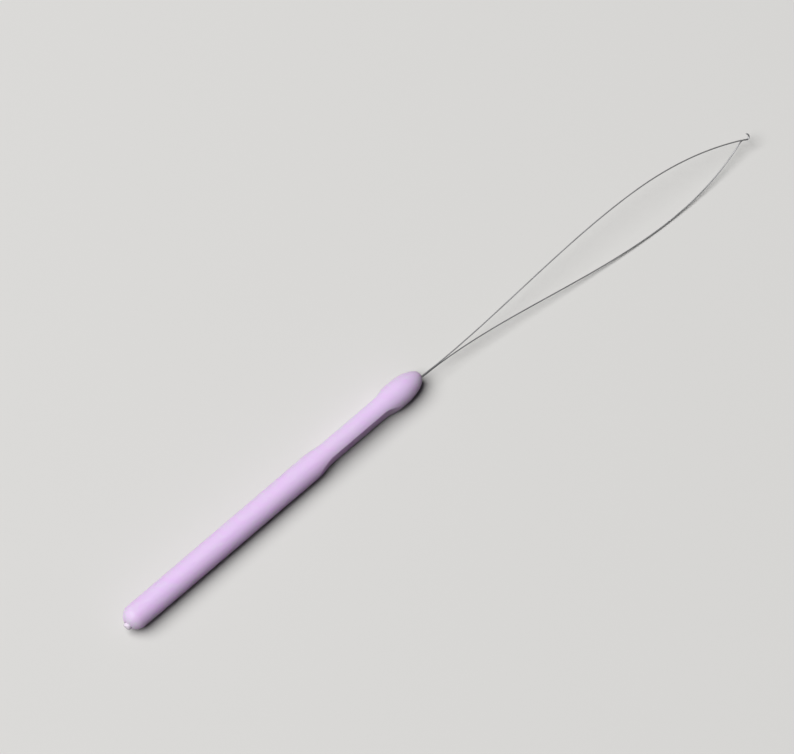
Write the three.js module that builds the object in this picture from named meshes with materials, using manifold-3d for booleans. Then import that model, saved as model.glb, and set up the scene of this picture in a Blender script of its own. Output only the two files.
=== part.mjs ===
// Bead threader: a plastic stick handle that holds a long, springy wire loop with a small hook at its tip.
// Millimetres, +X from the handle's tail to the hook, +Z up, the tool lying on the plane z = 0.
import * as THREE from 'three';
import { mergeVertices } from 'three/addons/utils/BufferGeometryUtils.js';
import Module from 'manifold-3d';

const wasm = await Module();
wasm.setup();

// Handle: a round body with a domed tail, a slightly thicker bulb, and a rounded nose with a small flat end
const handleLength = 120;
const bodyDiameter = 8.2;
const bulbDiameter = 8.6;
const bulbLandLength = 2.2;
const bulbTaperLength = 9;
const noseLength = 9;
const noseFlatDiameter = 2;

// Grip: a flat cut into each side, with an S-shaped run-out at each end; the front run-out ends on the
// bulb's land
const gripThickness = 5.7;
const gripFlatLength = 21.4;
const gripRearRunOut = 8.7;
const gripFrontRunOut = 6.2;

// Wire: where the two strands meet, the left one lies above the right one and a little to its left; they
// leave the root at slightly different slopes, and the loop is rolled, with its left strand up
const wireDiameter = 0.4;
const strandGap = 0.1;
const pairTilt = 24;
const rootLength = 5.6;
const rootLean = 2.3;
const loopLength = 118.9;
const loopLean = 4.05;
const loopRoll = 30;
const loopWidth = 14.5;
const loopFrontLength = 37.75;
const leftForkSlope = 0.049;
const rightForkSlope = -0.014;
const tipSlope = 0.43;

// Places where both strands flex: past the split, behind and ahead of the loop's widest place, and before
// the tip, each with a small gap in the wire
const rootFlexLength = 9.9;
const rearFlexFromWidest = 18.2;
const frontFlexFromWidest = 19.4;
const tipFlexLength = 1.4;
const flexGap = 0.12;

// Hook: the pinched fold, bent round in the plane of the loop
const hookRadius = 0.93;
const hookShankLength = 1.35;
const hookShankAngle = -31;
const hookTurn = 156;

// Pieces that hold the wire in the nose; the bore through them lies beside the handle's axis
const boreOffset = 0.92;
const wireEndLength = 0.5;
const sleeveLength = 9;
const sleeveWall = 0.22;
const crimpDepth = 0.08;
const crimpLength = 1.6;
const crimpSpacing = 3.6;
const adhesiveLength = 4.2;
const adhesiveRecess = 0.7;

// Plug pressed into the tail's dome, square to the surface, a little to the right of the dome's tip
const plugDiameter = 2.6;
const plugLength = 3.6;
const plugProud = 0.8;
const plugTilt = 10;

// Clearances, and how far the cutters reach past the handle
const boreFit = 0.05;
const sleeveFit = 0.12;
const wireFit = 0.06;
const endFit = 0.3;
const cutMargin = 2;

// Fineness of the round forms
const handleSides = 40;
const domeSteps = 9;
const runOutSteps = 10;
const boreSides = 20;
const plugDomeSteps = 5;
const wireSides = 8;
const legSteps = 44;
const hookSteps = 96;
const hookArcPoints = 8;
const foldPoints = 4;

const rad = THREE.MathUtils.degToRad;
const lerp = THREE.MathUtils.lerp;
const ease = (t) => t * t * (3 - 2 * t);

// Handle places along X, from the tail
const bulbEnd = handleLength - noseLength;
const bulbStart = bulbEnd - bulbLandLength;
const gripEnd = bulbEnd - bulbLandLength / 2;
const flatEnd = gripEnd - gripFrontRunOut;
const flatStart = flatEnd - gripFlatLength;
const gripStart = flatStart - gripRearRunOut;

// The facets lie flat side down, so the axis is this high when the thickest part rests on the plane
const restRadius = Math.max(bodyDiameter, bulbDiameter) / 2;
const axisHeight = restRadius * Math.cos(Math.PI / handleSides);

// Half the distance between the two strands where they meet, and the size of the pair
const pairHalf = (wireDiameter + strandGap) / 2;
const pairRadius = pairHalf + wireDiameter / 2;

// Bore: the wire ends, the sleeve and the adhesive lie in it one after the other
const boreRadius = pairRadius + wireFit + sleeveWall + sleeveFit;
const sleeveEnd = handleLength - adhesiveRecess - adhesiveLength - endFit;
const sleeveStart = sleeveEnd - sleeveLength;
const wireStart = sleeveStart - wireEndLength;
const boreStart = wireStart - endFit;

// Loop places along its axis, from the split
const widestAt = loopLength - loopFrontLength;
const rearFlexAt = widestAt - rearFlexFromWidest;
const frontFlexAt = widestAt + frontFlexFromWidest;
const tipFlexAt = loopLength - tipFlexLength;

function material(color, roughness, metalness) {
  return new THREE.MeshStandardMaterial({ color, roughness, metalness });
}

const handlePlastic = material(0xd4b3e1, 0.5, 0);
const plugPlastic = material(0xf2ecf4, 0.25, 0);
const sleeveMetal = material(0xb9a05c, 0.35, 1);
const adhesive = material(0xe6dcc0, 0.3, 0);
const springSteel = material(0x9a9a9c, 0.3, 1);

function mesh(name, geometry, finish) {
  const piece = new THREE.Mesh(geometry, finish);
  piece.name = name;
  return piece;
}

// A closed geometry as a solid that can be cut
function solid(geometry) {
  const bare = geometry.clone();
  bare.deleteAttribute('normal');
  bare.deleteAttribute('uv');
  const merged = mergeVertices(bare, 1e-5);
  const vertProperties = new Float32Array(merged.attributes.position.array);
  const triVerts = new Uint32Array(merged.index.array);
  return new wasm.Manifold(new wasm.Mesh({ numProp: 3, vertProperties, triVerts }));
}

function geometryOf(cut) {
  const result = cut.getMesh();
  const geometry = new THREE.BufferGeometry();
  geometry.setAttribute('position', new THREE.BufferAttribute(result.vertProperties, 3));
  geometry.setIndex(new THREE.BufferAttribute(result.triVerts, 1));
  return geometry;
}

// Turns a profile of [radius, x] points about the X axis, with a flat side down
function turned(profile, sides) {
  const points = profile.map(([radius, x]) => new THREE.Vector2(radius, x));
  const geometry = new THREE.LatheGeometry(points, sides, Math.PI / sides);
  return geometry.rotateZ(-Math.PI / 2);
}

// Points of a rounded end as [radius, x]: part of an ellipse, from its widest place to a given end radius
function roundedEnd(widest, endRadius, length, xWidest, direction, steps) {
  const last = Math.acos(endRadius / widest);
  const points = [];
  for (let i = 0; i <= steps; i += 1) {
    const angle = (last * i) / steps;
    const radius = i === steps ? endRadius : widest * Math.cos(angle);
    const along = (length * Math.sin(angle)) / Math.sin(last);
    points.push([radius, xWidest + direction * along]);
  }
  return points;
}

// Round blank of the handle, from the tail's dome to the flat end of the nose
function handleBlank() {
  const bodyRadius = bodyDiameter / 2;
  const bulbRadius = bulbDiameter / 2;
  return turned([
    ...roundedEnd(bodyRadius, 0, bodyRadius, bodyRadius, -1, domeSteps).reverse(),
    [bodyRadius, bulbStart - bulbTaperLength],
    [bulbRadius, bulbStart],
    ...roundedEnd(bulbRadius, noseFlatDiameter / 2, noseLength, bulbEnd, 1, domeSteps),
    [0, handleLength],
  ], handleSides);
}

// Plan outline that the blank is cut down to: straight sides, drawn in to the grip's thickness by the
// run-outs
function gripOutline() {
  const outside = restRadius + cutMargin;
  const half = gripThickness / 2;
  const rear = bodyDiameter / 2;
  const front = bulbDiameter / 2;
  const rearThird = gripRearRunOut / 3;
  const frontThird = gripFrontRunOut / 3;
  const outline = new THREE.Shape();
  outline.moveTo(-cutMargin, -outside);
  outline.lineTo(gripStart, -outside);
  outline.lineTo(gripStart, -rear);
  outline.bezierCurveTo(gripStart + rearThird, -rear, flatStart - rearThird, -half, flatStart, -half);
  outline.lineTo(flatEnd, -half);
  outline.bezierCurveTo(flatEnd + frontThird, -half, gripEnd - frontThird, -front, gripEnd, -front);
  outline.lineTo(gripEnd, -outside);
  outline.lineTo(handleLength + cutMargin, -outside);
  outline.lineTo(handleLength + cutMargin, outside);
  outline.lineTo(gripEnd, outside);
  outline.lineTo(gripEnd, front);
  outline.bezierCurveTo(gripEnd - frontThird, front, flatEnd + frontThird, half, flatEnd, half);
  outline.lineTo(flatStart, half);
  outline.bezierCurveTo(flatStart - rearThird, half, gripStart + rearThird, rear, gripStart, rear);
  outline.lineTo(gripStart, outside);
  outline.lineTo(-cutMargin, outside);
  outline.closePath();
  return outline;
}

// A round rod along the X axis of a frame, used to cut a hole
function rod(radius, from, to, frame) {
  const blank = turned([[0, from], [radius, from], [radius, to], [0, to]], boreSides);
  return solid(blank.applyMatrix4(frame));
}

function handleGeometry() {
  const depth = 2 * (restRadius + cutMargin);
  const sides = new THREE.ExtrudeGeometry(gripOutline(), {
    depth,
    bevelEnabled: false,
    curveSegments: runOutSteps,
  });
  sides.translate(0, 0, -depth / 2);
  const bore = rod(boreRadius, boreStart, handleLength + cutMargin, boreFrame);
  const socket = rod(plugDiameter / 2 + boreFit, -cutMargin, plugLength - plugProud + endFit, plugFrame);
  return geometryOf(solid(handleBlank()).intersect(solid(sides)).subtract(bore).subtract(socket));
}

// Plug in the tail, with a domed head that stands out of it
function tailPlugGeometry() {
  const radius = plugDiameter / 2;
  return turned([
    ...roundedEnd(radius, 0, plugProud, 0, -1, plugDomeSteps).reverse(),
    [radius, plugLength - plugProud],
    [0, plugLength - plugProud],
  ], boreSides);
}

// Tube closed on the wire ends, with two crimped waists
function crimpSleeveGeometry() {
  const inner = pairRadius + wireFit;
  const outer = inner + sleeveWall;
  const waist = outer - crimpDepth;
  const centre = (sleeveStart + sleeveEnd) / 2;
  const profile = [[inner, sleeveStart], [outer, sleeveStart]];
  for (const middle of [centre - crimpSpacing / 2, centre + crimpSpacing / 2]) {
    profile.push([outer, middle - crimpLength / 2]);
    profile.push([waist, middle - crimpLength / 4]);
    profile.push([waist, middle + crimpLength / 4]);
    profile.push([outer, middle + crimpLength / 2]);
  }
  profile.push([outer, sleeveEnd], [inner, sleeveEnd], [inner, sleeveStart]);
  return turned(profile, boreSides);
}

// Cured adhesive round the wires, from the sleeve to just inside the bore's mouth
function adhesiveGeometry() {
  const inner = pairRadius + wireFit;
  const outer = boreRadius - boreFit;
  const start = sleeveEnd + endFit;
  const end = start + adhesiveLength;
  return turned([[inner, start], [outer, start], [outer, end], [inner, end], [inner, start]], boreSides);
}

// How far each strand has opened from the root, at u along the loop's axis: one cubic from the split out to
// the widest place, and one from there in to the tip
function spread(u, side) {
  const half = loopWidth / 2;
  if (u <= widestAt) {
    const t = u / widestAt;
    const slope = side > 0 ? leftForkSlope : rightForkSlope;
    return half * ease(t) + slope * widestAt * t * (1 - t) * (1 - t);
  }
  const t = (u - widestAt) / loopFrontLength;
  return half * (1 - ease(t)) + tipSlope * loopFrontLength * t * t * (1 - t);
}

// The place of one strand of the close pair, across the wire, where the pair leans by the given angle
function pairPlace(side, tilt) {
  return new THREE.Vector3(0, side * pairHalf * Math.sin(tilt), side * pairHalf * Math.cos(tilt));
}

// A stretch of one strand in the loop's plane; the pair stands square to that plane by the widest place
class StrandCurve extends THREE.Curve {
  constructor(side, from, to) {
    super();
    this.side = side;
    this.from = from;
    this.to = to;
  }

  getPoint(t, target = new THREE.Vector3()) {
    const u = lerp(this.from, this.to, t);
    const tilt = rad(pairTilt + loopRoll) * (1 - ease(Math.min(u / widestAt, 1)));
    const opened = new THREE.Vector3(u, this.side * spread(u, this.side), 0);
    return target.copy(pairPlace(this.side, tilt)).add(opened);
  }
}

// A curve as it lies in another frame
class PlacedCurve extends THREE.Curve {
  constructor(curve, matrix) {
    super();
    this.curve = curve;
    this.matrix = matrix;
  }

  getPoint(t, target = new THREE.Vector3()) {
    return this.curve.getPoint(t, target).applyMatrix4(this.matrix);
  }
}

function wireTube(path, steps) {
  const section = new THREE.Shape();
  section.absarc(0, 0, wireDiameter / 2, 0, 2 * Math.PI, false);
  return new THREE.ExtrudeGeometry(section, {
    steps,
    curveSegments: wireSides / 2,
    bevelEnabled: false,
    extrudePath: path,
  });
}

// Frames: the bore lies beside the handle's axis, and the plug's axis goes through the middle of the dome
const boreFrame = new THREE.Matrix4().makeTranslation(0, -boreOffset, 0);
const plugFrame = new THREE.Matrix4()
  .makeTranslation(bodyDiameter / 2, 0, 0)
  .multiply(new THREE.Matrix4().makeRotationZ(rad(plugTilt)))
  .multiply(new THREE.Matrix4().makeTranslation(-bodyDiameter / 2, 0, 0));

// The root starts at the nose and leans to the right, and the loop starts where the root splits
const rootFrame = new THREE.Matrix4()
  .makeTranslation(handleLength, -boreOffset, 0)
  .multiply(new THREE.Matrix4().makeRotationZ(-rad(rootLean)));
const loopFrame = rootFrame.clone()
  .multiply(new THREE.Matrix4().makeTranslation(rootLength, 0, 0))
  .multiply(new THREE.Matrix4().makeRotationZ(-rad(loopLean - rootLean)))
  .multiply(new THREE.Matrix4().makeRotationX(rad(loopRoll)));

// A wire leg: straight inside the sleeve and the bore, straight along the root, and forked as far as the
// first flex
function legGeometry(side) {
  const place = pairPlace(side, rad(pairTilt));
  const start = new THREE.Vector3(wireStart, -boreOffset, 0).add(place);
  const mouth = place.clone().applyMatrix4(rootFrame);
  const split = pairPlace(side, rad(pairTilt + loopRoll)).applyMatrix4(loopFrame);
  const path = new THREE.CurvePath();
  path.add(new THREE.LineCurve3(start, mouth));
  path.add(new THREE.LineCurve3(mouth, split));
  path.add(new PlacedCurve(new StrandCurve(side, 0, rootFlexLength - flexGap / 2), loopFrame));
  return wireTube(path, legSteps);
}

// Middle line of the hook in the loop's plane: the shank's middle, then the arc that bends back to the
// left
function hookPlan() {
  const angle = rad(hookShankAngle);
  const along = new THREE.Vector2(Math.cos(angle), Math.sin(angle));
  const outward = new THREE.Vector2(along.y, -along.x).multiplyScalar(hookRadius);
  const tip = new THREE.Vector2(loopLength, 0);
  const centre = tip.clone().addScaledVector(along, hookShankLength).sub(outward);
  const plan = [tip.addScaledVector(along, hookShankLength / 2)];
  for (let i = 0; i <= hookArcPoints; i += 1) {
    const spoke = outward.clone().rotateAround(new THREE.Vector2(), (rad(hookTurn) * i) / hookArcPoints);
    plan.push(spoke.add(centre));
  }
  return plan;
}

// The hook's wire: in from the left strand's last flex, round the hook above its middle line, back under
// itself through the pinched fold, and out to the right strand's last flex
function hookPath() {
  const plan = hookPlan();
  const last = plan[plan.length - 1];
  const endAngle = rad(hookShankAngle + hookTurn);
  const leadIn = [tipFlexAt + flexGap / 2, tipFlexAt + tipFlexLength / 2];
  const points = leadIn.map((u) => new THREE.Vector3(u, spread(u, 1), pairHalf));
  points.push(...plan.map((place) => new THREE.Vector3(place.x, place.y, pairHalf)));
  for (let i = 1; i < foldPoints; i += 1) {
    const turn = (Math.PI * i) / foldPoints;
    const ahead = pairHalf * Math.sin(turn);
    const x = last.x + ahead * Math.cos(endAngle);
    const y = last.y + ahead * Math.sin(endAngle);
    points.push(new THREE.Vector3(x, y, pairHalf * Math.cos(turn)));
  }
  points.push(...plan.reverse().map((place) => new THREE.Vector3(place.x, place.y, -pairHalf)));
  points.push(...leadIn.reverse().map((u) => new THREE.Vector3(u, -spread(u, -1), -pairHalf)));
  return new THREE.CatmullRomCurve3(points, false, 'centripetal');
}

// The handle with everything that is fixed in it
const handle = new THREE.Group();
handle.add(mesh('handle', handleGeometry(), handlePlastic));
handle.add(mesh('wire_leg_left', legGeometry(1), springSteel));
handle.add(mesh('wire_leg_right', legGeometry(-1), springSteel));
const tailPlug = mesh('tail_plug', tailPlugGeometry(), plugPlastic);
const crimpSleeve = mesh('crimp_sleeve', crimpSleeveGeometry(), sleeveMetal);
const adhesivePlug = mesh('adhesive_plug', adhesiveGeometry(), adhesive);
tailPlug.applyMatrix4(plugFrame);
crimpSleeve.applyMatrix4(boreFrame);
adhesivePlug.applyMatrix4(boreFrame);
handle.add(tailPlug, crimpSleeve, adhesivePlug);

// The loop: each strand in three stretches that meet where it flexes, and the hook
const loop = new THREE.Group();
loop.applyMatrix4(loopFrame);
const stretches = [
  { place: 'rear', from: rootFlexLength, to: rearFlexAt, steps: 16 },
  { place: 'middle', from: rearFlexAt, to: frontFlexAt, steps: 14 },
  { place: 'front', from: frontFlexAt, to: tipFlexAt, steps: 10 },
];
for (const [sideName, side] of [['left', 1], ['right', -1]]) {
  for (const { place, from, to, steps } of stretches) {
    const curve = new StrandCurve(side, from + flexGap / 2, to - flexGap / 2);
    loop.add(mesh(`strand_${sideName}_${place}`, wireTube(curve, steps), springSteel));
  }
}
loop.add(mesh('wire_hook', wireTube(hookPath(), hookSteps), springSteel));
handle.add(loop);

// The origin is on the plane under the middle of the whole tool
const tool = new THREE.Group();
tool.add(handle);
handle.position.z = axisHeight;
tool.updateMatrixWorld(true);
const middle = new THREE.Box3().setFromObject(handle, true).getCenter(new THREE.Vector3());
handle.position.x = -middle.x;
handle.position.y = -middle.y;

export default tool;
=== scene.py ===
import math

import bpy
import numpy as np
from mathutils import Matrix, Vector


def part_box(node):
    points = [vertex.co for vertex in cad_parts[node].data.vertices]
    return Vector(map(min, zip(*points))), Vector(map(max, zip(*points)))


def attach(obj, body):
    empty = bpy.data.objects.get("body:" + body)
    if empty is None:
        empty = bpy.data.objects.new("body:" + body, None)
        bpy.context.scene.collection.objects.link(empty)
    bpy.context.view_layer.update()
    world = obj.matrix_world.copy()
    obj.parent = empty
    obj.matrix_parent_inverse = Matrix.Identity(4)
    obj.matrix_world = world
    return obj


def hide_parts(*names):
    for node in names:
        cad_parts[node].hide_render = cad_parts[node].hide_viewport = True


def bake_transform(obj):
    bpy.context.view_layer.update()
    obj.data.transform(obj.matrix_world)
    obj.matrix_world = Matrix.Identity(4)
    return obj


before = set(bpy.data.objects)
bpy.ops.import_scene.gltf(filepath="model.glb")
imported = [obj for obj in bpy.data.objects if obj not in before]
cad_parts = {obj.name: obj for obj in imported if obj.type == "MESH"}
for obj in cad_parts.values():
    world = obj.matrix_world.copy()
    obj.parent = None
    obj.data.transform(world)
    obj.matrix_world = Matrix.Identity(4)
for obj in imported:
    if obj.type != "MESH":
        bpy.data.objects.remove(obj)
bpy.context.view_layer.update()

# Sizes in millimetres, in the handle's own frame: x from the tail along the axis, y to the left, z up
MM = 0.001

# Handle
HANDLE_LENGTH = 120.0
BODY_RADIUS = 4.09
BULB_RADIUS = 4.2867
BULB_LAND = 2.2
BULB_TAPER = 9.0
NOSE_LENGTH = 9.0
NOSE_FLAT_RADIUS = 1.0
GRIP_HALF = 2.85
GRIP_FLAT = 21.4
GRIP_REAR_RUN_OUT = 8.7
GRIP_FRONT_RUN_OUT = 6.2
EDGE_ROUND = 0.12
NOSE_EDGE_ROUND = 0.12
HOLE_LIP = 0.12

# Bore for the wire, beside the handle's axis
BORE_OFFSET = 0.92
BORE_RADIUS = 0.85
BORE_START = 105.0

# Plug in the tail, and its socket
PLUG_RADIUS = 1.3
PLUG_PROUD = 0.8
PLUG_INSIDE = 2.75
PLUG_CHAMFER = 0.1
PLUG_TILT = 10.0
PLUG_FULLNESS = 3.4
SOCKET_RADIUS = 1.5
SOCKET_DEPTH = 3.1

# Wire: the close pair, and the loop along its axis from the split
WIRE_RADIUS = 0.2
WIRE_START = 105.3
PAIR_HALF = 0.25
PAIR_TILT = 24.0
ROOT_LENGTH = 5.6
ROOT_LEAN = 2.3
LOOP_LENGTH = 118.9
LOOP_LEAN = 4.05
LOOP_ROLL = 30.0
LOOP_WIDTH = 14.5
WIDEST_AT = 81.15
LEFT_FORK_SLOPE = 0.049
RIGHT_FORK_SLOPE = -0.014
TIP_SLOPE = 0.43

# Places on the loop's axis where the strands flex, where the pieces are cut, and how far a bend reaches
ROOT_FLEX = 9.9
REAR_FLEX = 62.95
FRONT_FLEX = 100.55
TIP_FLEX = 117.5
REAR_CUT = 40.0
FRONT_CUT = 86.0
ROOT_REACH = 6.0
REAR_REACH = 11.5
FRONT_REACH = 8.0

# Hook
HOOK_RADIUS = 0.93
HOOK_SHANK = 1.35
HOOK_SHANK_ANGLE = -31.0
HOOK_TURN = 156.0

# Points round the handle's section, per quarter: up to a flat's corner, over it, and all of them
CORNER_FROM = 26
CORNER_TO = 34
QUARTER = 40
CORNER_MOST = math.radians(82)
CORNER_SHARE = 0.8

# Sections along the handle
TAIL_SECTIONS = 26
BODY_SECTIONS = 48
REAR_RUN_OUT_SECTIONS = 34
FLAT_SECTIONS = 22
FRONT_RUN_OUT_SECTIONS = 26
LAND_SECTIONS = 4
NOSE_SECTIONS = 32
LIP_SECTIONS = 4

# Points of the plug
PLUG_AROUND = 48
PLUG_HEAD_SECTIONS = 14
PLUG_SHANK_SECTIONS = (0.7, 1.4, 2.1)

# Points of the wire
WIRE_AROUND = 16
WIRE_CAP_SECTIONS = 4
ROOT_POINTS = 80
MIDDLE_POINTS = 100
FRONT_POINTS = 80
ROOT_STEP = 0.2
ROOT_BEND = 0.35
BEND_REACHES = 3
HOOK_ARC_POINTS = 8
HOOK_FOLD_POINTS = 4
HOOK_SPAN_POINTS = 8
HOOK_STEP = 0.08

BULB_END = HANDLE_LENGTH - NOSE_LENGTH
BULB_START = BULB_END - BULB_LAND
GRIP_END = BULB_END - BULB_LAND / 2
FLAT_END = GRIP_END - GRIP_FRONT_RUN_OUT
FLAT_START = FLAT_END - GRIP_FLAT
GRIP_START = FLAT_START - GRIP_REAR_RUN_OUT

# The handle's axis and tail, from the boxes of the CAD pieces
handle_low, handle_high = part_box("handle")
ORIGIN = np.array([
    handle_high.x / MM - HANDLE_LENGTH,
    (handle_low.y + handle_high.y) / 2 / MM,
    (handle_low.z + handle_high.z) / 2 / MM,
])


def ease(t):
    t = np.clip(t, 0.0, 1.0)
    return t * t * (3 - 2 * t)


def soft_min(a, b, k):
    """The smaller of a and b, with the corner between them rounded over k."""
    near = np.maximum(k - np.abs(a - b), 0.0) / k
    return np.minimum(a, b) - near * near * k / 4


def mesh_object(name, points, faces):
    """A smooth-shaded mesh from points in the handle's frame, in millimetres."""
    data = bpy.data.meshes.new(name)
    data.from_pydata([tuple(p) for p in (np.asarray(points) + ORIGIN) * MM], [], faces)
    data.update()
    data.polygons.foreach_set("use_smooth", [True] * len(data.polygons))
    piece = bpy.data.objects.new(name, data)
    bpy.context.scene.collection.objects.link(piece)
    return piece


def ring_mesh(name, rings):
    """A closed skin through rings of equal count, with a fan at each end."""
    count = len(rings[0])
    points = [p for ring in rings for p in ring]
    faces = []
    for i in range(len(rings) - 1):
        for j in range(count):
            k = (j + 1) % count
            faces.append((i * count + j, i * count + k, (i + 1) * count + k, (i + 1) * count + j))
    for at, ring in ((0, rings[0]), (len(rings) - 1, rings[-1])):
        centre = len(points)
        points.append(np.mean(ring, axis=0))
        for j in range(count):
            k = (j + 1) % count
            side = (at * count + j, at * count + k)
            faces.append((side[1], side[0], centre) if at == 0 else (side[0], side[1], centre))
    return mesh_object(name, points, faces)


# Handle
def angles_around(radius, limit):
    """Angles round a section from its top, with points close together over each corner of the flats."""
    corner = min(math.asin(min(limit / radius, 1)), CORNER_MOST)
    room = math.pi / 2 - corner
    reach = min(EDGE_ROUND / (radius * math.cos(corner)), CORNER_SHARE * room)
    places = (0, corner - reach, corner + reach, math.pi / 2)
    quarter = np.interp(np.arange(QUARTER + 1), (0, CORNER_FROM, CORNER_TO, QUARTER), places)
    half = np.concatenate([quarter[:-1], math.pi - quarter[:0:-1]])
    return np.concatenate([half, math.pi + half])


ROUND = angles_around(BODY_RADIUS, BODY_RADIUS)
SPOKES = np.stack([np.zeros_like(ROUND), np.sin(ROUND), np.cos(ROUND)], axis=1)


def body_radius(x):
    bulb = ease((x - BULB_START + BULB_TAPER) / BULB_TAPER)
    return BODY_RADIUS + (BULB_RADIUS - BODY_RADIUS) * bulb


def grip_limit(x):
    """Half the width that the flats leave at x, larger than the body where there are none."""
    rear = ease((x - GRIP_START) / GRIP_REAR_RUN_OUT)
    front = ease((GRIP_END - x) / GRIP_FRONT_RUN_OUT)
    outside = (BODY_RADIUS if rear < 1 else BULB_RADIUS) + EDGE_ROUND
    return GRIP_HALF + (outside - GRIP_HALF) * (1 - min(rear, front))


def body_ring(x):
    """The handle's section at x, with its sides cut flat in the grip."""
    radius = body_radius(x)
    if not GRIP_START < x < GRIP_END:
        return radius * SPOKES + [x, 0, 0]
    phi = angles_around(radius, grip_limit(x))
    y = radius * np.sin(phi)
    y = np.sign(y) * soft_min(np.abs(y), grip_limit(x), EDGE_ROUND)
    return np.stack([np.full_like(y, x), y, radius * np.cos(phi)], axis=1)


def nose_height(r):
    """How far out the nose's surface is, at a distance from the handle's axis."""
    last = math.acos(NOSE_FLAT_RADIUS / BULB_RADIUS)
    sine = np.sqrt(np.maximum(1 - (r / BULB_RADIUS) ** 2, 0))
    return soft_min(BULB_END + NOSE_LENGTH * sine / math.sin(last), HANDLE_LENGTH, NOSE_EDGE_ROUND)


def turn(angle):
    """A turn about the Z axis, in degrees."""
    c, s = math.cos(math.radians(angle)), math.sin(math.radians(angle))
    return np.array([[c, -s, 0], [s, c, 0], [0, 0, 1.0]])


def tilted(points, angle):
    """Points turned about the middle of the tail's dome."""
    middle = np.array([BODY_RADIUS, 0, 0])
    return middle + (points - middle) @ turn(angle).T


def hole_rings(rim, middle, hole, floor, inward):
    """Rings over the rounded lip of a hole, from its rim, and down its wall to its floor."""
    rings = []
    for i in range(1, LIP_SECTIONS + 1):
        angle = i * math.pi / (2 * LIP_SECTIONS)
        ring = middle + (hole + HOLE_LIP * (1 - math.sin(angle))) * SPOKES
        ring[:, 0] = rim + inward * HOLE_LIP * (1 - math.cos(angle))
        rings.append(ring)
    ring = middle + hole * SPOKES
    ring[:, 0] = floor
    return rings + [ring]


def tail_rings():
    """Rings over the dome, which lean step by step with the plug, and down into the plug's socket."""
    rings = []
    last = math.acos((SOCKET_RADIUS + HOLE_LIP) / BODY_RADIUS)
    for i in range(1, TAIL_SECTIONS + 1):
        angle = last * i / TAIL_SECTIONS
        rim = BODY_RADIUS * (1 - math.sin(angle))
        ring = BODY_RADIUS * math.cos(angle) * SPOKES + [rim, 0, 0]
        rings.append(tilted(ring, PLUG_TILT * i / TAIL_SECTIONS))
    socket = hole_rings(rim, np.zeros(3), SOCKET_RADIUS, SOCKET_DEPTH, 1)
    return rings + [tilted(ring, PLUG_TILT) for ring in socket]


def nose_rings():
    """Rings over the nose, in to the off-centre bore and down to its floor."""
    rings = []
    rim_radius = BORE_RADIUS + HOLE_LIP
    last = math.acos(rim_radius / BULB_RADIUS)
    for i in range(1, NOSE_SECTIONS + 1):
        rho = BULB_RADIUS * math.cos(last * i / NOSE_SECTIONS)
        shift = -BORE_OFFSET * (BULB_RADIUS - rho) / (BULB_RADIUS - rim_radius)
        ring = rho * SPOKES + [0, shift, 0]
        ring[:, 0] = nose_height(np.hypot(ring[:, 1], ring[:, 2]))
        rings.append(ring)
    middle = np.array([0, -BORE_OFFSET, 0])
    return rings + hole_rings(rings[-1][:, 0], middle, BORE_RADIUS, BORE_START, -1)


def make_handle():
    stations = np.concatenate([
        np.linspace(BODY_RADIUS, GRIP_START, BODY_SECTIONS, endpoint=False),
        np.linspace(GRIP_START, FLAT_START, REAR_RUN_OUT_SECTIONS, endpoint=False),
        np.linspace(FLAT_START, FLAT_END, FLAT_SECTIONS, endpoint=False),
        np.linspace(FLAT_END, GRIP_END, FRONT_RUN_OUT_SECTIONS, endpoint=False),
        np.linspace(GRIP_END, BULB_END, LAND_SECTIONS),
    ])
    body = [body_ring(x) for x in stations]
    return ring_mesh("handle_moulding", tail_rings()[::-1] + body + nose_rings())


def make_tail_plug():
    """A stud with a full domed head, in the plug's leaning socket."""
    phi = np.arange(PLUG_AROUND) * 2 * math.pi / PLUG_AROUND
    spoke = np.stack([np.zeros(PLUG_AROUND), np.sin(phi), np.cos(phi)], axis=1)
    rings = []
    for i in range(1, PLUG_HEAD_SECTIONS + 1):
        angle = i * math.pi / (2 * PLUG_HEAD_SECTIONS)
        x = -PLUG_PROUD * math.cos(angle) ** (2 / PLUG_FULLNESS)
        rings.append(spoke * PLUG_RADIUS * math.sin(angle) ** (2 / PLUG_FULLNESS) + [x, 0, 0])
    for x in (*PLUG_SHANK_SECTIONS, PLUG_INSIDE - PLUG_CHAMFER):
        rings.append(spoke * PLUG_RADIUS + [x, 0, 0])
    rings.append(spoke * (PLUG_RADIUS - PLUG_CHAMFER) + [PLUG_INSIDE, 0, 0])
    return ring_mesh("tail_plug_stud", [tilted(ring, PLUG_TILT) for ring in rings])


# Wire
def rolled(angle):
    """A turn about the X axis, in degrees."""
    c, s = math.cos(math.radians(angle)), math.sin(math.radians(angle))
    return np.array([[1.0, 0, 0], [0, c, -s], [0, s, c]])


ROOT_TURN = turn(-ROOT_LEAN)
LOOP_TURN = turn(-LOOP_LEAN) @ rolled(LOOP_ROLL)
ROOT_AT = np.array([HANDLE_LENGTH, -BORE_OFFSET, 0.0])
LOOP_AT = ROOT_AT + ROOT_TURN @ [ROOT_LENGTH, 0, 0]


def spread(u, side):
    """Distance of a strand from the loop's axis."""
    half = LOOP_WIDTH / 2
    slope = LEFT_FORK_SLOPE if side > 0 else RIGHT_FORK_SLOPE
    t = u / WIDEST_AT
    rear = half * ease(t) + slope * WIDEST_AT * t * (1 - t) ** 2
    length = LOOP_LENGTH - WIDEST_AT
    t = (u - WIDEST_AT) / length
    front = half * (1 - ease(t)) + TIP_SLOPE * length * t * t * (1 - t)
    return np.where(u <= WIDEST_AT, rear, front)


def pair_place(side, tilt):
    """Where a strand of the close pair lies across the wire, when the pair leans by the given angle."""
    across = [np.zeros_like(tilt), PAIR_HALF * np.sin(tilt), PAIR_HALF * np.cos(tilt)]
    return side * np.stack(across, axis=-1)


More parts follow.
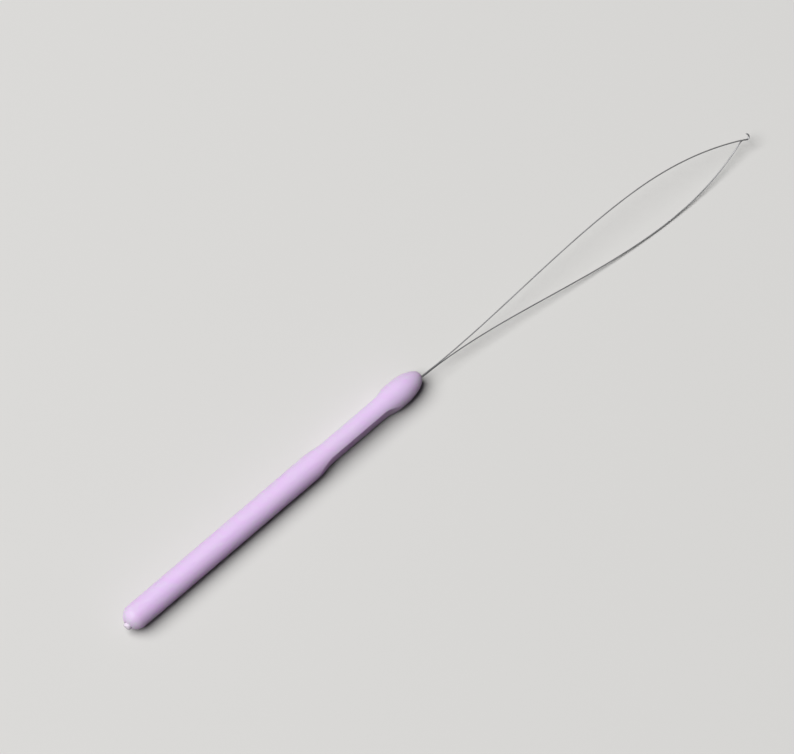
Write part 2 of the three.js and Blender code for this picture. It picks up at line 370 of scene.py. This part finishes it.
def loop_points(u, side):
    """A strand along the loop; the leaning pair stands square to the loop by the widest place."""
    u = np.asarray(u, float)
    tilt = math.radians(PAIR_TILT + LOOP_ROLL) * (1 - ease(u / WIDEST_AT))
    opened = np.stack([u, side * spread(u, side), np.zeros_like(u)], axis=-1)
    return LOOP_AT + (opened + pair_place(side, tilt)) @ LOOP_TURN.T


def leg_points(side):
    """The corners of a leg behind the split: its end inside the nose, and the nose's mouth."""
    place = pair_place(side, math.radians(PAIR_TILT))
    start = np.array([WIRE_START, -BORE_OFFSET, 0.0]) + place
    return np.stack([start, ROOT_AT + ROOT_TURN @ place])


def resampled(points, step):
    """The same line with points at about equal steps."""
    along = np.concatenate([[0], np.cumsum(np.linalg.norm(np.diff(points, axis=0), axis=1))])
    at = np.linspace(0, along[-1], max(2, int(round(along[-1] / step)) + 1))
    return np.stack([np.interp(at, along, points[:, k]) for k in range(3)], axis=1)


def smoothed(points, step, width):
    """The same line with its small corners rounded over about the given width; its ends stay."""
    line = resampled(points, step)
    reach = int(BEND_REACHES * width / step)
    weights = np.exp(-0.5 * (np.arange(-reach, reach + 1) * step / width) ** 2)
    weights /= weights.sum()
    start = 2 * line[0] - line[reach:0:-1]
    end = 2 * line[-1] - line[-2:-reach - 2:-1]
    padded = np.concatenate([start, line, end])
    out = np.stack([np.convolve(padded[:, k], weights, mode="valid") for k in range(3)], axis=1)
    out[0], out[-1] = line[0], line[-1]
    return out


def tube(name, points, round_start, round_end):
    """A round wire along the points, each end flat or rounded about its last point."""
    tangents = np.gradient(points, axis=0)
    tangents /= np.linalg.norm(tangents, axis=1)[:, None]
    normal = np.cross(tangents[0], [0, 0, 1.0])
    angles = np.arange(WIRE_AROUND) * 2 * math.pi / WIRE_AROUND
    rings = []
    for point, tangent in zip(points, tangents):
        normal = normal - tangent * (normal @ tangent)
        normal = normal / np.linalg.norm(normal)
        across = np.cross(tangent, normal)
        spokes = np.cos(angles)[:, None] * normal + np.sin(angles)[:, None] * across
        rings.append((point, tangent, spokes))
    skin = [point + WIRE_RADIUS * spokes for point, _, spokes in rings]
    for wanted, at, direction in ((round_start, 0, -1), (round_end, -1, 1)):
        if not wanted:
            continue
        point, tangent, spokes = rings[at]
        cap = []
        for i in range(1, WIRE_CAP_SECTIONS + 1):
            angle = i * math.pi / (2 * (WIRE_CAP_SECTIONS + 1))
            centre = point + direction * tangent * WIRE_RADIUS * math.sin(angle)
            cap.append(centre + WIRE_RADIUS * math.cos(angle) * spokes)
        skin = cap[::-1] + skin if at == 0 else skin + cap
    return ring_mesh(name, skin)


def catmull_rom(points, per_span):
    """A centripetal Catmull-Rom curve through the points."""
    points = np.asarray(points, float)
    ends = np.vstack([2 * points[0] - points[1], points, 2 * points[-1] - points[-2]])
    out = []
    for i in range(len(points) - 1):
        p0, p1, p2, p3 = ends[i:i + 4]
        d0, d1, d2 = (math.sqrt(np.linalg.norm(b - a)) for a, b in ((p0, p1), (p1, p2), (p2, p3)))
        m1 = ((p1 - p0) / d0 - (p2 - p0) / (d0 + d1) + (p2 - p1) / d1) * d1
        m2 = ((p2 - p1) / d1 - (p3 - p1) / (d1 + d2) + (p3 - p2) / d2) * d1
        for t in np.arange(per_span) / per_span:
            place = (2 * t ** 3 - 3 * t ** 2 + 1) * p1 + (t ** 3 - 2 * t ** 2 + t) * m1
            out.append(place + (3 * t ** 2 - 2 * t ** 3) * p2 + (t ** 3 - t ** 2) * m2)
    out.append(points[-1])
    return np.array(out)


def hook_points():
    """The pinched fold: out along the upper side, round, through the fold and back on the lower side."""
    angle = math.radians(HOOK_SHANK_ANGLE)
    along = np.array([math.cos(angle), math.sin(angle)])
    outward = np.array([along[1], -along[0]]) * HOOK_RADIUS
    tip = np.array([LOOP_LENGTH, 0.0])
    centre = tip + along * HOOK_SHANK - outward
    plan = [tip + along * HOOK_SHANK / 2]
    for i in range(HOOK_ARC_POINTS + 1):
        swing = turn(HOOK_TURN * i / HOOK_ARC_POINTS)[:2, :2]
        plan.append(centre + swing @ outward)
    end = math.radians(HOOK_SHANK_ANGLE + HOOK_TURN)
    ahead = np.array([math.cos(end), math.sin(end)])
    lead = (TIP_FLEX, (TIP_FLEX + LOOP_LENGTH) / 2)
    points = [(u, float(spread(u, 1)), PAIR_HALF) for u in lead]
    points += [(x, y, PAIR_HALF) for x, y in plan]
    for i in range(1, HOOK_FOLD_POINTS):
        fold = math.pi * i / HOOK_FOLD_POINTS
        points.append((*(plan[-1] + PAIR_HALF * math.sin(fold) * ahead), PAIR_HALF * math.cos(fold)))
    points += [(x, y, -PAIR_HALF) for x, y in plan[::-1]]
    points += [(u, -float(spread(u, -1)), -PAIR_HALF) for u in lead[::-1]]
    return LOOP_AT + catmull_rom(points, HOOK_SPAN_POINTS) @ LOOP_TURN.T


def make_strand(side_name, side):
    """One strand as three wires, cut in the middle of a stretch."""
    root_line = loop_points(np.linspace(0, REAR_CUT, ROOT_POINTS), side)
    middle_line = loop_points(np.linspace(REAR_CUT, FRONT_CUT, MIDDLE_POINTS), side)
    front_line = loop_points(np.linspace(FRONT_CUT, TIP_FLEX, FRONT_POINTS), side)
    root_line = smoothed(np.concatenate([leg_points(side), root_line]), ROOT_STEP, ROOT_BEND)
    root = tube(f"wire_{side_name}_root", root_line, False, False)
    middle = tube(f"wire_{side_name}_middle", middle_line, False, False)
    front = tube(f"wire_{side_name}_front", front_line, False, True)
    places = ("rear", "middle", "front")
    rear_body, middle_body, front_body = (f"strand_{side_name}_{place}" for place in places)
    spans = (
        (root, "grip", rear_body, ROOT_FLEX, ROOT_REACH, (f"wire_leg_{side_name}", rear_body)),
        (middle, rear_body, middle_body, REAR_FLEX, REAR_REACH, (middle_body,)),
        (front, middle_body, front_body, FRONT_FLEX, FRONT_REACH, (front_body,)),
    )
    for piece, body_a, body_b, flex, reach, nodes in spans:
        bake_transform(piece)
        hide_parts(*nodes)
    return [root, middle, front]


# Materials
def material(name, color, roughness, metallic):
    """A new material with its nodes, its links and its shader."""
    made = bpy.data.materials.new(name)
    made.use_nodes = True
    shader = made.node_tree.nodes["Principled BSDF"]
    shader.inputs["Base Color"].default_value = (*color, 1)
    shader.inputs["Roughness"].default_value = roughness
    shader.inputs["Metallic"].default_value = metallic
    made.diffuse_color = (*color, 1)
    return made, made.node_tree.nodes, made.node_tree.links, shader


def linear(red, green, blue):
    """A colour of bright sRGB levels, from 0 to 255, as the shader takes it."""
    return tuple(((level / 255 + 0.055) / 1.055) ** 2.4 for level in (red, green, blue))


def noise(nodes, links, scale, detail, stretch=(1, 1, 1)):
    """Noise that is fixed to the piece."""
    place = nodes.new("ShaderNodeTexCoord")
    mapping = nodes.new("ShaderNodeMapping")
    mapping.inputs["Scale"].default_value = stretch
    texture = nodes.new("ShaderNodeTexNoise")
    texture.inputs["Scale"].default_value = scale
    texture.inputs["Detail"].default_value = detail
    links.new(place.outputs["Object"], mapping.inputs["Vector"])
    links.new(mapping.outputs["Vector"], texture.inputs["Vector"])
    return texture.outputs["Fac"]


def ranged(nodes, links, value, low, high):
    """The noise, which keeps mostly between 0.3 and 0.7, spread over a range."""
    spread_over = nodes.new("ShaderNodeMapRange")
    spread_over.inputs["From Min"].default_value = 0.3
    spread_over.inputs["From Max"].default_value = 0.7
    spread_over.inputs["To Min"].default_value = low
    spread_over.inputs["To Max"].default_value = high
    links.new(value, spread_over.inputs["Value"])
    return spread_over.outputs["Result"]


def mottled(nodes, links, value, first, second):
    """A colour that wanders between two with the noise."""
    mix = nodes.new("ShaderNodeMix")
    mix.data_type = "RGBA"
    mix.inputs["A"].default_value = (*first, 1)
    mix.inputs["B"].default_value = (*second, 1)
    links.new(ranged(nodes, links, value, 0, 1), mix.inputs["Factor"])
    return mix.outputs["Result"]


def bumped(nodes, links, value, distance, strength, under=None):
    """A fine relief from the noise, over another one where there is one."""
    bump = nodes.new("ShaderNodeBump")
    bump.inputs["Distance"].default_value = distance
    bump.inputs["Strength"].default_value = strength
    links.new(value, bump.inputs["Height"])
    if under is not None:
        links.new(under, bump.inputs["Normal"])
    return bump.outputs["Normal"]


def handle_plastic():
    made, nodes, links, shader = material("handle_plastic", linear(228, 202, 246), 0.46, 0)
    links.new(
        mottled(nodes, links, noise(nodes, links, 60, 2), linear(227, 201, 247), linear(229, 203, 245)),
        shader.inputs["Base Color"],
    )
    links.new(ranged(nodes, links, noise(nodes, links, 300, 3), 0.42, 0.52), shader.inputs["Roughness"])
    grain = bumped(nodes, links, noise(nodes, links, 2600, 3), 0.00003, 0.25)
    links.new(
        bumped(nodes, links, noise(nodes, links, 9000, 2), 0.00001, 0.25, grain),
        shader.inputs["Normal"],
    )
    shader.inputs["Subsurface Weight"].default_value = 0.5
    shader.inputs["Subsurface Radius"].default_value = (8, 0.3, 8)
    shader.inputs["Subsurface Scale"].default_value = 0.001
    shader.inputs["Sheen Weight"].default_value = 0.6
    shader.inputs["Sheen Roughness"].default_value = 0.7
    shader.inputs["Sheen Tint"].default_value = (1, 0.75, 1, 1)
    shader.inputs["Specular IOR Level"].default_value = 0.3
    shader.inputs["IOR"].default_value = 1.46
    return made


def plug_plastic():
    made, nodes, links, shader = material("plug_plastic", linear(229, 217, 233), 0.2, 0)
    gloss = noise(nodes, links, 900, 3)
    links.new(ranged(nodes, links, gloss, 0.16, 0.26), shader.inputs["Roughness"])
    links.new(bumped(nodes, links, noise(nodes, links, 3000, 2), 0.00002, 0.2), shader.inputs["Normal"])
    shader.inputs["Coat Weight"].default_value = 0.4
    shader.inputs["Coat Roughness"].default_value = 0.08
    return made


def spring_wire():
    made, nodes, links, shader = material("spring_wire", linear(147, 147, 149), 0.34, 1)
    drawn = noise(nodes, links, 9000, 3, (0.02, 1, 1))
    tone = noise(nodes, links, 500, 3, (0.3, 1, 1))
    links.new(
        mottled(nodes, links, tone, linear(137, 137, 139), linear(157, 157, 159)),
        shader.inputs["Base Color"],
    )
    links.new(ranged(nodes, links, drawn, 0.3, 0.44), shader.inputs["Roughness"])
    links.new(bumped(nodes, links, drawn, 0.000008, 0.3), shader.inputs["Normal"])
    return made


def sleeve_brass():
    made, nodes, links, shader = material("sleeve_brass", (0.55, 0.40, 0.14), 0.35, 1)
    drawn = noise(nodes, links, 4000, 3, (0.1, 1, 1))
    links.new(ranged(nodes, links, drawn, 0.3, 0.45), shader.inputs["Roughness"])
    return made


def adhesive():
    made, nodes, links, shader = material("adhesive", (0.75, 0.68, 0.50), 0.25, 0)
    links.new(bumped(nodes, links, noise(nodes, links, 1500, 2), 0.00005, 0.3), shader.inputs["Normal"])
    return made


FLOOR_COLOR = linear(217, 216, 214)
FLOOR_BOUNCE = (0.18, 0.18, 0.1775, 1)


def seen_directly(nodes, links):
    """1 for the rays that show a surface or the sky itself, 0 for those that carry its light on."""
    light_path = nodes.new("ShaderNodeLightPath")
    value = light_path.outputs["Is Camera Ray"]
    for name in ("Is Glossy Ray", "Is Transmission Ray"):
        either = nodes.new("ShaderNodeMath")
        either.operation = "MAXIMUM"
        links.new(value, either.inputs[0])
        links.new(light_path.outputs[name], either.inputs[1])
        value = either.outputs[0]
    return value


def floor_finish():
    """A pale floor that throws little light back on the object."""
    made, nodes, links, shader = material("floor", FLOOR_COLOR, 0.9, 0)
    mix = nodes.new("ShaderNodeMix")
    mix.data_type = "RGBA"
    mix.inputs["A"].default_value = FLOOR_BOUNCE
    mix.inputs["B"].default_value = (*FLOOR_COLOR, 1)
    links.new(seen_directly(nodes, links), mix.inputs["Factor"])
    links.new(mix.outputs["Result"], shader.inputs["Base Color"])
    shader.inputs["Specular IOR Level"].default_value = 0.1
    return made


# Camera, at the photograph's angle
AZIMUTH = math.radians(318.222)
ELEVATION = math.radians(72.2)
DISTANCE = 5.0
LENS = 740.7
TARGET = Vector((-0.007954, 0.009735, 0.0))
back = Vector((
    math.sin(AZIMUTH) * math.cos(ELEVATION),
    -math.cos(AZIMUTH) * math.cos(ELEVATION),
    math.sin(ELEVATION),
))
camera_data = bpy.data.cameras.new("camera")
camera_data.lens = LENS
camera_data.sensor_width = 36
camera_data.clip_end = 50
camera = bpy.data.objects.new("camera", camera_data)
camera.location = TARGET + back * DISTANCE
camera.rotation_mode = "QUATERNION"
camera.rotation_quaternion = (-back).to_track_quat("-Z", "Y")
bpy.context.scene.collection.objects.link(camera)
bpy.context.scene.camera = camera

# The object
finish_of = {
    "handle_plastic": handle_plastic(),
    "plug_plastic": plug_plastic(),
    "spring_wire": spring_wire(),
    "sleeve_brass": sleeve_brass(),
    "adhesive": adhesive(),
}


def finish(piece, slot):
    """Gives a piece the material of the given slot."""
    piece.data.materials.clear()
    piece.data.materials.append(finish_of[slot])


handle = make_handle()
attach(handle, "grip")
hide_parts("handle")
finish(handle, "handle_plastic")

plug = make_tail_plug()
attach(plug, "grip")
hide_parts("tail_plug")
finish(plug, "plug_plastic")

for side_name, side in (("left", 1), ("right", -1)):
    for wire in make_strand(side_name, side):
        finish(wire, "spring_wire")

hook = tube("wire_hook_fold", resampled(hook_points(), HOOK_STEP), True, True)
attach(hook, "hook")
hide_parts("wire_hook")
finish(hook, "spring_wire")

for node, slot in (("crimp_sleeve", "sleeve_brass"), ("adhesive_plug", "adhesive")):
    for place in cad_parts[node].material_slots:
        place.material = finish_of[slot]

# Floor
FLOOR_HALF = 6.0
corners = [(x * FLOOR_HALF, y * FLOOR_HALF, 0) for x, y in ((-1, -1), (1, -1), (1, 1), (-1, 1))]
floor_data = bpy.data.meshes.new("floor")
floor_data.from_pydata(corners, [], [(0, 1, 2, 3)])
floor = bpy.data.objects.new("floor", floor_data)
floor_data.materials.append(floor_finish())
bpy.context.scene.collection.objects.link(floor)

# Light: one large soft lamp over the left of the picture, and a pale world
lamp_data = bpy.data.lights.new("softbox", "AREA")
lamp_data.shape = "DISK"
lamp_data.size = 6.0
lamp_data.energy = 500
lamp = bpy.data.objects.new("softbox", lamp_data)
lamp_from = Vector((-0.36, 0.30, 0.87)).normalized()
LAMP_DISTANCE = 6.0
lamp.location = lamp_from * LAMP_DISTANCE
lamp.rotation_mode = "QUATERNION"
lamp.rotation_quaternion = lamp_from.to_track_quat("Z", "Y")
bpy.context.scene.collection.objects.link(lamp)

world = bpy.data.worlds.new("world")
world.use_nodes = True
bpy.context.scene.world = world
nodes, links = world.node_tree.nodes, world.node_tree.links
background = nodes["Background"]
level = nodes.new("ShaderNodeMapRange")
level.inputs["To Min"].default_value = 0.0
level.inputs["To Max"].default_value = 0.3
links.new(seen_directly(nodes, links), level.inputs["Value"])
links.new(level.outputs["Result"], background.inputs["Strength"])
background.inputs["Color"].default_value = (1, 0.995, 0.985, 1)

bpy.context.scene.view_settings.view_transform = "Standard"

bpy.context.view_layer.update()
